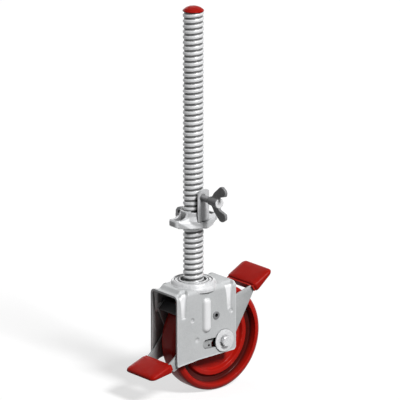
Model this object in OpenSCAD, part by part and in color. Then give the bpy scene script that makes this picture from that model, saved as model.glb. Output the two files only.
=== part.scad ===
// Scaffold castor: a load-centring braked wheel in a pressed fork, swivelling under a threaded
// spindle, with a cast spindle nut that carries the scaffold tube.
// The frame's origin is on the spindle axis, in the seat on top of the nut. +Z is up, the fork's
// open ends look along X, and the axle lies along Y. The lever is drawn with the brake off.

/* [Spindle] */
// Diameter over the thread crests
spindle_d = 38; // [36:0.5:40]
// Pitch of the single right-hand thread
pitch = 10; // [9:0.5:12]
// Depth of the thread below its crests
thread_depth = 2.4; // [2:0.1:3]
// Length of the spindle above the floor of the swivel flange
spindle_l = 507; // [420:1:600]
// Diameter of the hollow through the spindle
spindle_bore = 28; // [22:0.5:29]
// Height of the dome on the end cap
cap_h = 9; // [6:0.5:14]

/* [Spindle nut] */
// Height of the nut
nut_h = 30; // [26:1:36]
// Outside diameter of the seat collar, over the scaffold tube's wall
collar_d = 48.6; // [46:0.1:52]
// Reach of the two long lugs from the spindle axis
lug_l = 49; // [42:1:60]
// Width of the lugs
lug_w = 22; // [16:1:24]
// Gap between the nut's underside and the top of the swivel head
nut_rise = 101; // [40:1:140]

/* [Clamp] */
// Thickness of the clamp shell
shell_t = 4; // [3:0.5:5]
// Height of the clamp shell above the seat, at the top of its arch
shell_h = 43; // [38:1:60]
// Height of the wing screw above the seat
screw_rise = 28; // [24:1:30]
// Diameter of the wing screw's stud
stud_d = 12; // [8:0.5:12]
// Spread of the wings across their tips
wing_span = 66; // [50:1:80]

/* [Wheel] */
// Diameter of the wheel over its tread
wheel_d = 200; // [180:2:220]
// Width of the wheel over its rim
wheel_w = 46; // [42:1:50]
// Radius of the tread's shoulders
shoulder_r = 8; // [5:0.5:10]
// Diameter of the axle bolt
axle_d = 12; // [10:0.5:14]

/* [Fork] */
// Width of the fork over its side plates
fork_w = 79; // [77:1:90]
// Length of the fork from one open end to the other
fork_l = 136; // [128:1:150]
// Thickness of the pressed fork plate
plate_t = 4; // [3:0.5:5]
// Outside radius of the bends along the fork's top
bend_r = 10; // [7:0.5:12]
// Running space between the tread and the fork's top
crown_gap = 4; // [3:0.5:8]
// How far the axle trails behind the swivel axis
trail = 40; // [36:1:44]
// Outside diameter of the swivel cup
cup_d = 88; // [82:1:92]

/* [Brake lever] */
// Thickness of the two lever plates
lever_t = 4; // [3:0.5:4.5]
// Swing of the lever from off to braked, in degrees
lever_swing = 25; // [20:1:26]
// Length of a pedal along its slope
pedal_l = 48; // [40:1:56]
// Width of a pedal across the castor
pedal_w = 82; // [76:1:92]
// Thickness of a pedal at its inner edge
pedal_t = 18; // [16:1:22]
// Wall of the plastic pedal caps
cap_wall = 3.5; // [2.5:0.5:4]

/* [Clearances] */
// Radial running clearance of a pin in its hole
running = 0.05; // [0.02:0.01:0.09]
// Free gap between parts that pass each other
free_gap = 0.3; // [0.3:0.05:0.4]
// Space from each end of the wheel's hub to the lever plate beside it
hub_room = 2.4; // [2.4:0.1:4]
// Gap between the brake shoe and the braked wheel
shoe_gap = 1; // [1:0.1:2]
// Gap between the nut's thread and the spindle's
thread_gap = 0.5; // [0.4:0.05:0.6]

/* [Hidden] */
$fn = 64;

red = [0.62, 0.07, 0.05];
zinc = [0.74, 0.75, 0.76];
cast = [0.66, 0.67, 0.68];
steel = [0.55, 0.56, 0.58];

// Heights on the spindle axis, counted from the seat
nut_bottom = -nut_h;
head_top = nut_bottom - nut_rise;
head_h = 8;
crown_top = head_top - head_h;
crown_under = crown_top - plate_t;
axle_z = crown_under - crown_gap - wheel_d / 2;
flange_floor = head_top - 5;
flange_under = crown_top + 0.5;
spindle_top = flange_floor + spindle_l;

// Thread
crest_r = spindle_d / 2;
root_r = crest_r - thread_depth;
shoulder_drop = 0.6;
columns = 18;
thread_form = [[0, root_r], [0.24, crest_r - shoulder_drop], [0.5, crest_r], [0.76, crest_r - shoulder_drop]];
thread_points = len(thread_form);

// Swivel race
ball_d = 5;
ball_count = 32;
race_r = 35;
race_z = head_top - 4.7;
cup_skirt = 8;

// Fork
fork_in = fork_w / 2 - plate_t;
end_drop = 6;
end_drop_l = 14;
skirt_left = 32;
skirt_mid = 26;
skirt_right = 22;
skirt_kink_x = -16;
bush_d = axle_d + 3;
slot_h = bush_d + 2 * free_gap;
travel = trail;
slot_left = trail - travel - slot_h / 2;
washer_d = 42;
washer_t = 2.5;
rib_bulge = 3;
rib_w = 14;
rib_low = axle_z + 29;
rib_high = axle_z + 81;
flute_x = 53;
flute_low = axle_z + 58;
dimple_depth = 1.8;
dimples = [[-33, 51], [-22, 12], [57, 54]];

// Lever
pivot_x = 22;
pivot_z = axle_z + 51;
rivet_d = 12;
lever_out = fork_in - dimple_depth - free_gap;
lever_in = lever_out - lever_t;
shoe_t = 4.5;
shoe_from = 104;
shoe_sweep = 11.5;
upper_slope = 29.7;
lower_slope = 21.3;
tang_l = 30;
bar_t = 4.5;
upper_edge = [86.5, 43];
lower_edge = [-106.5, -73];

// Wheel and bearing
hub_w = 2 * (lever_in - hub_room);
sleeve_d = 20;
roller_d = 5;
roller_count = 14;
bearing_r = sleeve_d / 2 + free_gap + roller_d;
seal_t = 2;
rim_in = 86;
groove_in = 76;
ridge_in = 65;

// Clamp
shell_in = collar_d / 2 + free_gap;
shell_foot = -17;
shell_from = -112;
shell_to = -34;
stud_tip = shell_in + 0.4;
stud_out = 72;
hub_front = 50;
hub_back = 76;

// A flat outline with its corners rounded
module rounded(r) {
    offset(r = r, $fn = 24) offset(delta = -r) children();
}

// A shape drawn in the XZ plane, given a thickness along Y from y0 to y1
module slab(y0, y1) {
    translate([0, y1, 0]) rotate([90, 0, 0]) linear_extrude(y1 - y0, convexity = 8) children();
}

// A profile of radius and height, turned about a line along Y
module turned_y(x, z) {
    translate([x, 0, z]) rotate([-90, 0, 0]) rotate_extrude(convexity = 8) children();
}

// A round bar along Y
module bar_y(x, z, r, y0, y1) {
    translate([x, y0, z]) rotate([-90, 0, 0]) cylinder(r = r, h = y1 - y0);
}

// What is drawn on the near side, and its mirror image on the far side
module both_sides() {
    children();
    mirror([0, 1, 0]) children();
}

// Spindle

// Radius of the thread form at a fraction of one pitch
function form_r(turn) =
    let(w = turn - floor(turn))
    let(below = [for (j = [0 : thread_points - 1]) if (thread_form[j][0] <= w) j])
    let(j = below[len(below) - 1])
    let(a = thread_form[j])
    let(b = j + 1 < thread_points ? thread_form[j + 1] : [1, thread_form[0][1]])
    a[1] + (b[1] - a[1]) * (w - a[0]) / (b[0] - a[0]);

// A hollow bar with a helical thread, cut square at both ends. Each column of points climbs the
// thread form at one angle, and the next column stands a share of the pitch higher.
module threaded_tube(z0, z1, hollow_r) {
    rows = (ceil((z1 - z0) / pitch) + 2) * thread_points;
    outer = [for (i = [0 : columns - 1], j = [0 : rows - 1])
        let(place = thread_form[j % thread_points][0] + floor(j / thread_points) - 1)
        let(z = min(max(z0 + pitch * (place + i / columns), z0), z1))
        let(r = form_r((z - z0) / pitch - i / columns))
        [r * cos(360 * i / columns), r * sin(360 * i / columns), z]];
    inner = [for (z = [z0, z1], i = [0 : columns - 1])
        [hollow_r * cos(360 * i / columns), hollow_r * sin(360 * i / columns), z]];
    low = columns * rows;
    high = low + columns;
    function at(i, j) = i < columns ? i * rows + j : j + thread_points;
    function climbs(i, j) = outer[at(i, j + 1)][2] > outer[at(i, j)][2];
    flanks = [for (i = [0 : columns - 1], j = [0 : rows - 2 - thread_points]) each [
        if (climbs(i, j)) [at(i, j), at(i, j + 1), at(i + 1, j + 1)],
        if (climbs(i + 1, j)) [at(i, j), at(i + 1, j + 1), at(i + 1, j)]]];
    ends = [for (i = [0 : columns - 1]) let(n = (i + 1) % columns) each [
        [at(i, 0), at(n, 0), low + n],
        [at(i, 0), low + n, low + i],
        [at(i, rows - 1), high + n, at(n, rows - 1)],
        [at(i, rows - 1), high + i, high + n],
        [low + i, low + n, high + n],
        [low + i, high + n, high + i]]];
    polyhedron(concat(outer, inner), concat(flanks, ends), convexity = 10);
}

module threaded_spindle() {
    color(zinc) threaded_tube(flange_floor, spindle_top, spindle_bore / 2);
}

// Plastic plug: a dome on the spindle's end, with a stem in its hollow
module spindle_cap() {
    stem_r = spindle_bore / 2 * cos(180 / columns) - free_gap;
    rim_r = crest_r + 0.6;
    dome_r = (rim_r * rim_r + (cap_h - 3) * (cap_h - 3)) / (2 * (cap_h - 3));
    color(red) {
        translate([0, 0, spindle_top]) {
            intersection() {
                cylinder(r = rim_r, h = cap_h);
                translate([0, 0, cap_h - dome_r]) sphere(r = dome_r, $fn = 128);
            }
            difference() {
                translate([0, 0, -22]) cylinder(r = stem_r, h = 23);
                translate([0, 0, -23]) cylinder(r = stem_r - 3, h = 21);
            }
        }
    }
}

// Swivel head

// Round flange under the spindle: it carries the inner half of the ball race
module swivel_flange() {
    well_r = crest_r + 5;
    rim_r = race_r - 0.8;
    color(steel) difference() {
        rotate_extrude(convexity = 6) union() {
            polygon([[0, flange_under], [rim_r, flange_under], [rim_r, head_top - 2], [rim_r - 2, head_top],
                [well_r + 2, head_top], [well_r, head_top - 2], [well_r - 1, flange_floor],
                [0, flange_floor]]);
            polygon([[crest_r + free_gap, flange_floor - 1], [crest_r + 3.5, flange_floor - 1],
                [crest_r + 3.5, flange_floor], [crest_r + free_gap, flange_floor + 3]]);
        }
        rotate_extrude() translate([race_r, race_z]) circle(r = ball_d / 2 + free_gap);
    }
}

// Deep-drawn cup on the fork: it holds the outer half of the ball race
module swivel_cup() {
    out_r = cup_d / 2;
    color(zinc) difference() {
        rotate_extrude(convexity = 6) difference() {
            union() {
                polygon([[race_r + 0.8, crown_top - cup_skirt], [out_r, crown_top - cup_skirt],
                    [out_r, head_top - 5], [out_r - 3, head_top - 4], [out_r - 4, head_top - 2],
                    [race_r + 3, head_top], [race_r + 0.8, head_top - 2]]);
                translate([out_r - 5, head_top - 3]) circle(r = 2);
            }
            translate([race_r, race_z]) circle(r = ball_d / 2 + free_gap);
        }
        fork_blank(0);
    }
}

module swivel_balls() {
    color(steel) for (k = [0 : ball_count - 1]) {
        rotate(360 * k / ball_count) translate([race_r, 0, race_z]) sphere(d = ball_d, $fn = 32);
    }
}

// Fork

// Section of the folded channel, inset by a wall
module channel_section(inset, top) {
    half = fork_w / 2 - inset;
    r = bend_r - inset;
    bottom = axle_z - 60;
    translate([-half, bottom]) square([2 * half, top - inset - r - bottom]);
    translate([-half + r, bottom]) square([2 * (half - r), top - inset - bottom]);
    for (side = [-1, 1]) {
        translate([side * (half - r), top - inset - r]) circle(r = r);
    }
}

module channel(x0, x1, inset, top) {
    translate([x0, 0, 0]) rotate([90, 0, 90]) linear_extrude(x1 - x0, convexity = 6) {
        channel_section(inset, top);
    }
}

// The channel as a full block, or the hollow inside it: the top steps down at the lever's low end
module fork_blank(inset) {
    over = inset > 0 ? 1 : 0;
    left = -fork_l / 2;
    channel(left - over, fork_l / 2 + over, inset, crown_top - end_drop);
    channel(left + end_drop_l + inset, fork_l / 2 + over, inset, crown_top);
}

// Upright capsule of radius r on a side plate, with its axis at a depth y
module capsule(x, y, z0, z1, r) {
    translate([x, y, z0]) cylinder(r = r, h = z1 - z0);
    translate([x, y, z0]) sphere(r = r);
    translate([x, y, z1]) sphere(r = r);
}

// Shallow flute that fades out downwards, pressed into the side plate and its bend
module flute(x, grow) {
    flute_r = 24;
    z1 = crown_top + 4;
    translate([x, -fork_w / 2 - flute_r, flute_low]) {
        cylinder(r1 = flute_r + grow, r2 = flute_r + dimple_depth + grow, h = z1 - flute_low);
    }
}

// What is pressed out of one side plate, on its near face
module side_bulges() {
    face = -fork_w / 2;
    rib_r = (rib_bulge * rib_bulge + rib_w * rib_w / 4) / (2 * rib_bulge);
    intersection() {
        capsule(0, face - rib_bulge + rib_r, rib_low, rib_high, rib_r);
        translate([-rib_w, face - 2 * rib_bulge, axle_z]) cube([2 * rib_w, 2 * rib_bulge + 1, wheel_d]);
    }
    intersection() {
        for (x = [-flute_x, flute_x]) flute(x, plate_t);
        translate([-fork_l / 2, face + 1, flute_low]) {
            cube([fork_l, plate_t + dimple_depth, crown_top - end_drop - bend_r - flute_low]);
        }
    }
    for (d = dimples) {
        translate([d[0], -fork_in - 1, axle_z + d[1]]) {
            rotate([-90, 0, 0]) cylinder(r1 = 5.5, r2 = 3.5, h = dimple_depth + 1);
        }
    }
}

// What is pressed or cut into one side plate, on its near face
module side_cuts() {
    face = -fork_w / 2;
    rib_r = (rib_bulge * rib_bulge + rib_w * rib_w / 4) / (2 * rib_bulge);
    capsule(0, face - rib_bulge + rib_r, rib_low, rib_high, rib_r - plate_t);
    for (x = [-flute_x, flute_x]) flute(x, 0);
    for (d = dimples) {
        translate([d[0], face - 0.5, axle_z + d[1]]) {
            rotate([-90, 0, 0]) cylinder(r1 = 4.6, r2 = 2.8, h = dimple_depth + 0.5);
        }
    }
    bar_y(pivot_x, pivot_z, rivet_d / 2 + running, face - 1, -fork_in + 1);
    slab(face - 1, -fork_in + 1) {
        translate([slot_left + slot_h / 2, axle_z - slot_h / 2]) square([travel, slot_h]);
        for (x = [trail - travel, trail]) translate([x, axle_z]) circle(d = slot_h);
    }
}

// Outline of the side plates: the lower edge rises from the low end in two straight lines
module side_outline() {
    left = -fork_l / 2;
    rounded(3) polygon([[left, axle_z - skirt_left], [skirt_kink_x, axle_z - skirt_mid],
        [fork_l / 2, axle_z - skirt_right], [fork_l / 2, crown_top + 20], [left, crown_top + 20]]);
}

module fork() {
    color(zinc) difference() {
        union() {
            intersection() {
                difference() {
                    fork_blank(0);
                    fork_blank(plate_t);
                }
                slab(-fork_w, fork_w) side_outline();
            }
            both_sides() side_bulges();
        }
        both_sides() side_cuts();
    }
}

// Two hollow rivets that the lever turns on, one in each side plate
module lever_rivets() {
    color(steel) both_sides() difference() {
        union() {
            bar_y(pivot_x, pivot_z, rivet_d / 2, -fork_w / 2 - 0.5, -lever_in + 0.5);
            bar_y(pivot_x, pivot_z, rivet_d / 2 + 1.5, -fork_w / 2 - 1.2, -fork_w / 2);
            bar_y(pivot_x, pivot_z, rivet_d / 2 + 2, -lever_in + free_gap, -lever_in + 1.6);
        }
        bar_y(pivot_x, pivot_z, 3.5, -fork_w / 2 - 2, -lever_in + 2);
    }
}

// Brake lever

// Places what is drawn from the lever's pivot
module at_pivot() {
    translate([pivot_x, 0, pivot_z]) children();
}

// Frame of a pedal: x runs outward along its slope, z is square to its top face
module at_pedal(edge, slope, flip) {
    at_pivot() translate([edge[0], 0, edge[1]]) rotate([0, -slope, 0]) mirror([flip, 0, 0]) children();
}

// Point of the lever's outline given in a pedal's frame: side is 1 at the upper pedal, -1 at the lower
function on_pedal(edge, slope, side, u, v) =
    edge + [side * u * cos(slope) - v * sin(slope), side * u * sin(slope) + v * cos(slope)];

// Height of the floor of the cap's pocket, at a distance u from its mouth
function pocket_floor(u) = cap_wall - pedal_t + pedal_t / 2 * u / (pedal_l - cap_wall);

// End of a lever plate that reaches into a pedal cap
function tang(edge, slope, side) = [
    on_pedal(edge, slope, side, -1, -cap_wall - free_gap),
    on_pedal(edge, slope, side, tang_l, -cap_wall - free_gap),
    on_pedal(edge, slope, side, tang_l, pocket_floor(tang_l) + free_gap),
    on_pedal(edge, slope, side, -1, pocket_floor(-1) + free_gap)];

// Place of the axle in the lever, seen from the pivot, at a share of the lever's swing
function cam(share) =
    let(x = trail - travel * share - pivot_x, z = axle_z - pivot_z, a = lever_swing * share)
    [x * cos(a) - z * sin(a), x * sin(a) + z * cos(a)];

// Point beside the brake shoe as the lever rests: an angle round the braked wheel, and a distance
// out from the shoe's face
function on_shoe(angle, out) =
    let(r = wheel_d / 2 + shoe_gap + out, x = trail - travel - pivot_x + r * cos(angle),
        z = axle_z - pivot_z + r * sin(angle))
    [x * cos(lever_swing) - z * sin(lever_swing), x * sin(lever_swing) + z * cos(lever_swing)];

// Outline of the rocking plate, from the low end round under the axle to the high end and back
// over the shoe
module lever_outline() {
    low = tang(lower_edge, lower_slope, -1);
    high = tang(upper_edge, upper_slope, 1);
    rounded(1.5) polygon(concat([low[2], low[3]],
        [[-93, -91.5], [-78, -84], [-40, -74], [0, -72], [30, -66], [48, -48], [90, 24]],
        [high[3], high[2], high[1], high[0]],
        [[53, 29], [28, 25], [6, 17], [-12, 8], [-46, 17]],
        [on_shoe(shoe_from - 3.4, -2), on_shoe(shoe_from - 1.4, shoe_t - 1.3),
            on_shoe(shoe_from + 3.9, shoe_t - 0.3), on_shoe(shoe_from + shoe_sweep, shoe_t + 0.4)],
        [[-74, -4], [-62, -30], [-88, -63]],
        [low[0], low[1]]));
}

module lever_plate() {
    color(steel) at_pivot() slab(-lever_out, -lever_in) difference() {
        lever_outline();
        circle(r = rivet_d / 2 + running);
        for (share = [0, 0.25, 0.5, 0.75]) hull() {
            translate(cam(share)) circle(d = slot_h + 1, $fn = 48);
            translate(cam(share + 0.25)) circle(d = slot_h + 1, $fn = 48);
        }
        translate([-12, -56.5]) circle(d = 4.5);
    }
}

module lever_plate_near() {
    lever_plate();
}

module lever_plate_far() {
    mirror([0, 1, 0]) lever_plate();
}

// Curved steel shoe between the lever plates. It is drawn on the braked wheel and turned back to
// the lever's rest.
module brake_shoe() {
    shoe_r = wheel_d / 2 + shoe_gap;
    color(steel) at_pivot() rotate([0, -lever_swing, 0]) {
        translate([trail - travel - pivot_x, lever_in, axle_z - pivot_z]) rotate([90, 0, 0]) {
            rotate([0, 0, shoe_from]) rotate_extrude(angle = shoe_sweep, $fn = 180) {
                translate([shoe_r, 0]) square([shoe_t, 2 * lever_in]);
            }
        }
    }
}

// Side view of a pedal: inner edge at x = 0, top along z = 0, half as thick at the toe
module pedal_side() {
    rounded(2.5) polygon([[0, 0], [pedal_l, 0], [pedal_l, -pedal_t / 2], [0, -pedal_t]]);
}

// Plastic cap, open at its inner end, pulled over the lever's plates and bar
module pedal_cap() {
    difference() {
        intersection() {
            slab(-pedal_w / 2, pedal_w / 2) pedal_side();
            translate([0, 0, -pedal_t - 1]) linear_extrude(pedal_t + 2) {
                translate([0, -pedal_w / 2]) rounded(7) square([pedal_l, pedal_w]);
            }
        }
        slab(-pedal_w / 2 + cap_wall, pedal_w / 2 - cap_wall) polygon([[-1, -cap_wall],
            [pedal_l - cap_wall, -cap_wall], [pedal_l - cap_wall, pocket_floor(pedal_l - cap_wall)],
            [-1, pocket_floor(-1)]]);
    }
}

// Flat bar welded between the lever's ends, inside the cap
module pedal_bar() {
    translate([tang_l - 20, -lever_in, -cap_wall - free_gap - bar_t]) cube([18, 2 * lever_in, bar_t]);
}

module upper_pedal_cap() {
    color(red) at_pedal(upper_edge, upper_slope, 0) pedal_cap();
}

module lower_pedal_cap() {
    color(red) at_pedal(lower_edge, lower_slope, 1) pedal_cap();
}

module upper_pedal_bar() {
    color(steel) at_pedal(upper_edge, upper_slope, 0) pedal_bar();
}

module lower_pedal_bar() {
    color(steel) at_pedal(lower_edge, lower_slope, 1) pedal_bar();
}

// Axle
washer_in = fork_w / 2 + free_gap;
washer_out = washer_in + washer_t;
hex_w = 1.5 * axle_d;
hex_t = 8;

module hexagon_y(y0, y1) {
    translate([trail, y0, axle_z]) rotate([-90, 0, 0]) cylinder(d = hex_w / cos(30), h = y1 - y0, $fn = 6);
}

module axle_bolt() {
    color(steel) {
        hexagon_y(-washer_out - hex_t, -washer_out);
        bar_y(trail, axle_z, axle_d / 2, -washer_out - 1, washer_out + hex_t + 3);
    }
}

module axle_nut() {
    color(steel) difference() {
        hexagon_y(washer_out, washer_out + hex_t + 1);
        bar_y(trail, axle_z, axle_d / 2 + running, washer_out - 1, washer_out + hex_t + 2);
    }
}

module axle_washers() {
    color(zinc) both_sides() difference() {
        bar_y(trail, axle_z, washer_d / 2, -washer_out, -washer_in);
        bar_y(trail, axle_z, axle_d / 2 + running, -washer_out - 1, -washer_in + 1);
    }
}

// Bushes that run in the fork's slots and through the lever plates
module axle_bushes() {
    color(steel) both_sides() difference() {
        bar_y(trail, axle_z, bush_d / 2, -washer_in, -hub_w / 2 - seal_t - free_gap);
        bar_y(trail, axle_z, axle_d / 2 + running, -washer_in - 1, -hub_w / 2);
    }
}

module axle_sleeve() {
    half = hub_w / 2 + seal_t + free_gap;
    color(steel) difference() {
        bar_y(trail, axle_z, sleeve_d / 2, -half, half);
        bar_y(trail, axle_z, axle_d / 2 + running, -half - 1, half + 1);
    }
}

// Wheel

// Half of the wheel's section, as radius and distance from its middle plane
module wheel_half_section() {
    wheel_r = wheel_d / 2;
    half = wheel_w / 2;
    difference() {
        union() {
            square([wheel_r, 1]);
            translate([0, 0]) square([wheel_r, half - shoulder_r]);
            translate([0, 0]) square([wheel_r - shoulder_r, half]);
            translate([wheel_r - shoulder_r, half - shoulder_r]) circle(r = shoulder_r);
            square([29, hub_w / 2]);
        }
        square([bearing_r + running, hub_w]);
        polygon([[32, 9], [ridge_in - 3, 7], [ridge_in, 14], [groove_in - 4, 14], [groove_in - 1, 9],
            [rim_in - 2, 9], [rim_in + 1, half - 3], [rim_in + 1, half - 1], [rim_in + 1, half + 9],
            [29, half + 9], [29, 12]]);
        translate([-1, -2 * half]) square([2 * wheel_r, 2 * half]);
    }
}

module wheel() {
    color(red) turned_y(trail, axle_z) {
        wheel_half_section();
        mirror([0, 1]) wheel_half_section();
    }
}

// Plastic cage that spaces the rollers in the hub
module roller_cage() {
    mid = sleeve_d / 2 + free_gap + roller_d / 2;
    half = hub_w / 2 - seal_t;
    color("dimgray") difference() {
        bar_y(trail, axle_z, mid + 1.5, -half, half);
        bar_y(trail, axle_z, mid - 1.5, -half - 1, half + 1);
        for (k = [0 : roller_count - 1]) {
            translate([trail, 0, axle_z]) rotate([0, 360 * k / roller_count, 0]) {
                bar_y(mid, 0, roller_d / 2 + running, -half + 3, half - 3);
            }
        }
    }
}

module bearing_rollers() {
    mid = sleeve_d / 2 + free_gap + roller_d / 2;
    half = hub_w / 2 - seal_t - 3;
    color("silver") for (k = [0 : roller_count - 1]) {
        translate([trail, 0, axle_z]) rotate([0, 360 * k / roller_count, 0]) {
            bar_y(mid, 0, roller_d / 2, -half, half);
        }
    }
}

// Rings that close the bearing at both ends of the hub
module hub_seals() {
    color("dimgray") both_sides() difference() {
        bar_y(trail, axle_z, bearing_r, -hub_w / 2, -hub_w / 2 + seal_t);
        bar_y(trail, axle_z, sleeve_d / 2 + free_gap, -hub_w / 2 - 1, -hub_w / 2 + seal_t + 1);
    }
}

// Spindle nut and clamp

// Internal thread of the nut: a ridge that winds up its bore in step with the spindle's groove
module nut_thread() {
    sections = 18;
    turns = 1.6;
    low = nut_bottom + 6;
    groove = flange_floor + pitch * ceil((low - flange_floor) / pitch);
    wall_r = crest_r + thread_gap + 0.8;
    form = [[wall_r, -2.7], [wall_r, 2.7], [root_r + 0.9, 0.35], [root_r + 0.9, -0.35]];
    count = round(sections * turns);
    points = [for (k = [0 : count], p = form)
        [p[0] * cos(360 * k / sections), p[0] * sin(360 * k / sections), groove + pitch * k / sections + p[1]]];
    sides = [for (k = [0 : count - 1], j = [0 : 3]) let(n = (j + 1) % 4) each [
        [4 * k + j, 4 * k + 4 + n, 4 * k + 4 + j],
        [4 * k + j, 4 * k + n, 4 * k + 4 + n]]];
    last = 4 * count;
    ends = [[0, 2, 1], [0, 3, 2], [last, last + 1, last + 2], [last, last + 2, last + 3]];
    polyhedron(points, concat(sides, ends), convexity = 6);
}

// Long lug along X, with its web rising to the collar
module lug_x() {
    intersection() {
        slab(-lug_w / 2, lug_w / 2) polygon([[10, nut_bottom + 3], [lug_l - 3, nut_bottom + 4.5],
            [lug_l, nut_bottom + 7.5], [lug_l, -14.5], [lug_l - 3, -12], [34, -12.5], [27, -9.5],
            [collar_d / 2 - 1, -2], [10, -2]]);
        translate([0, 0, nut_bottom - 1]) linear_extrude(nut_h + 2) {
            translate([-10, -lug_w / 2]) rounded(4) square([lug_l + 10, lug_w]);
        }
    }
}

// Raised lug with an eye, on the far side
module eye_lug() {
    rotate([0, 0, 90]) difference() {
        slab(-6, 6) rounded(2.5) polygon([[10, nut_bottom + 2], [43, nut_bottom + 5], [46, nut_bottom + 9],
            [45, -9], [40, -3], [30, -2.5], [10, -5]]);
        bar_y(35, -11, 3.2, -8, 8);
    }
}

// Short lug under the clamp shell
module foot_lug() {
    rotate([0, 0, -60]) translate([0, 0, nut_bottom + 1]) {
        linear_extrude(shell_foot - nut_bottom - 1) {
            rounded(5) translate([0, -lug_w * 0.8]) square([34, lug_w * 1.6]);
        }
    }
}

module spindle_nut() {
    bore_r = crest_r + thread_gap;
    collar_r = collar_d / 2;
    color(cast) {
        difference() {
            union() {
                nut_thread();
                rotate_extrude(convexity = 6) polygon([[bore_r, nut_bottom], [collar_r + 1, nut_bottom],
                    [collar_r + 6, nut_bottom + 5], [collar_r + 6, -15], [collar_r, -8], [collar_r, -1],
                    [collar_r - 0.8, 0], [bore_r + 0.7, 0], [bore_r, -1]]);
                difference() {
                    union() {
                        lug_x();
                        mirror([1, 0, 0]) lug_x();
                        eye_lug();
                        foot_lug();
                    }
                    translate([0, 0, nut_bottom - 1]) cylinder(r = collar_r - 1, h = nut_h + 2);
                }
            }
            translate([0, 0, shell_foot]) rotate([0, 0, shell_from - 1]) {
                rotate_extrude(angle = shell_to - shell_from + 2) {
                    translate([collar_r, 0]) square([shell_t + 4, nut_h]);
                }
            }
        }
    }
}

// Curved upright plate that stands on the nut outside the scaffold tube
module clamp_shell() {
    arch_r = 44;
    top = shell_h;
    color(cast) difference() {
        intersection() {
            translate([0, 0, shell_foot]) rotate([0, 0, shell_from]) {
                rotate_extrude(angle = shell_to - shell_from) {
                    translate([shell_in, 0]) square([shell_t, top - shell_foot]);
                }
            }
            rotate([0, 0, 8]) slab(-60, 0) {
                translate([2, top - arch_r / 2]) circle(r = arch_r / 2);
                translate([-60, shell_foot]) square([120, top - 16 - shell_foot]);
            }
        }
        bar_y(0, screw_rise, stud_d / 2 + running, -60, 0);
    }
}

module clamp_stud() {
    color(steel) {
        bar_y(0, screw_rise, stud_d / 2, -stud_out, -stud_tip - 1.5);
        translate([0, -stud_tip, screw_rise]) rotate([90, 0, 0]) {
            cylinder(r1 = stud_d / 2 - 1.5, r2 = stud_d / 2, h = 1.5);
        }
    }
}

// One wing, drawn outward from the screw's axis
module wing() {
    tip = wing_span / 2;
    translate([-2.2, 0, 0]) rotate([90, 0, 90]) linear_extrude(4.4) {
        rounded(3) polygon([[-hub_front, 3], [-hub_front - 8, 3], [-hub_front - 21, 5.5],
            [-hub_front - 30, tip * 0.45], [-hub_front - 47, tip * 0.62], [-hub_front - 46, tip * 0.8],
            [-hub_front - 36, tip], [-hub_front - 31, tip * 0.98], [-hub_front - 14, tip * 0.52]]);
    }
}

module wing_handle() {
    color(cast) translate([0, 0, screw_rise]) difference() {
        union() {
            translate([0, -hub_front, 0]) rotate([90, 0, 0]) {
                cylinder(r1 = 8, r2 = 9.5, h = hub_back - hub_front);
            }
            wing();
            mirror([0, 0, 1]) wing();
        }
        bar_y(0, 0, stud_d / 2 + running, -stud_out - 0.5, 0);
    }
}

threaded_spindle();
spindle_cap();
swivel_flange();
swivel_cup();
swivel_balls();
fork();
lever_rivets();
lever_plate_near();
lever_plate_far();
brake_shoe();
upper_pedal_bar();
lower_pedal_bar();
upper_pedal_cap();
lower_pedal_cap();
axle_bolt();
axle_nut();
axle_washers();
axle_bushes();
axle_sleeve();
wheel();
roller_cage();
bearing_rollers();
hub_seals();
spindle_nut();
clamp_shell();
clamp_stud();
wing_handle();
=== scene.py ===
# %% [markdown]
# # A scaffold castor, dressed for its photograph
#
# The object is the foot of a rolling scaffold tower. A red wheel runs in a pressed steel fork, the
# fork swivels under a long threaded spindle, and a cast nut on the thread carries the scaffold
# tube. The CAD model gives every size, so nothing is moved here: each finer piece is drawn in the
# same frame, in the place of the plain solid that it stands for.

# %% Load the frame
import math

import bmesh
import bpy
import numpy as np
from mathutils import Matrix, Vector


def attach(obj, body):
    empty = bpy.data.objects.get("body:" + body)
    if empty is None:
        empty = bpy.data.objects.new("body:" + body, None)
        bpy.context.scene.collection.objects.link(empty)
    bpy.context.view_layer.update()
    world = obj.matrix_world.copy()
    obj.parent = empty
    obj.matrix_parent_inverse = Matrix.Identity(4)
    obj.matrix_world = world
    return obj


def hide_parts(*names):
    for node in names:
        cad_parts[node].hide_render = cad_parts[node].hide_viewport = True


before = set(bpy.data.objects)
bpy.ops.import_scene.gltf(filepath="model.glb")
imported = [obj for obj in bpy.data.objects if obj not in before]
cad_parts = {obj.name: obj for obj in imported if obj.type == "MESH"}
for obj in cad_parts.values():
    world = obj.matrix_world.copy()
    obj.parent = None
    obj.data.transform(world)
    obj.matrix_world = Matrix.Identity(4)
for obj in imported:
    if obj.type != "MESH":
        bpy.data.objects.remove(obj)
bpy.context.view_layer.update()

# %% [markdown]
# Machine parts are drawn in millimetres and Blender works in metres, so all sizes below are in
# millimetres and one factor turns them into metres when a mesh is made. Heights are counted from
# the seat on top of the nut, so most of them are negative.

# %% The castor's main sizes, in millimetres
MM = 0.001
CREST_R, THREAD_DEPTH, PITCH = 19.0, 2.4, 10.0
SPINDLE_FOOT, SPINDLE_TOP, BORE_R = -136.0, 371.0, 14.0
HEAD_TOP, CROWN_TOP, PLATE_T = -131.0, -139.0, 4.0
AXLE_X, AXLE_Z, FLOOR_Z = 40.0, -247.0, -347.0
AXLE_AT = (AXLE_X, 0, AXLE_Z)
FORK_HALF, BEND_R = 39.5, 10.0
PIVOT_X, PIVOT_Z = 22.0, -196.0
SCREW_Z = 28.0

# %% [markdown]
# The photograph was taken from the front left, a little above, through a long lens. A camera far
# away with a narrow field does the same: upright lines stay upright and the far side is as large
# as the near side.

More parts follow.
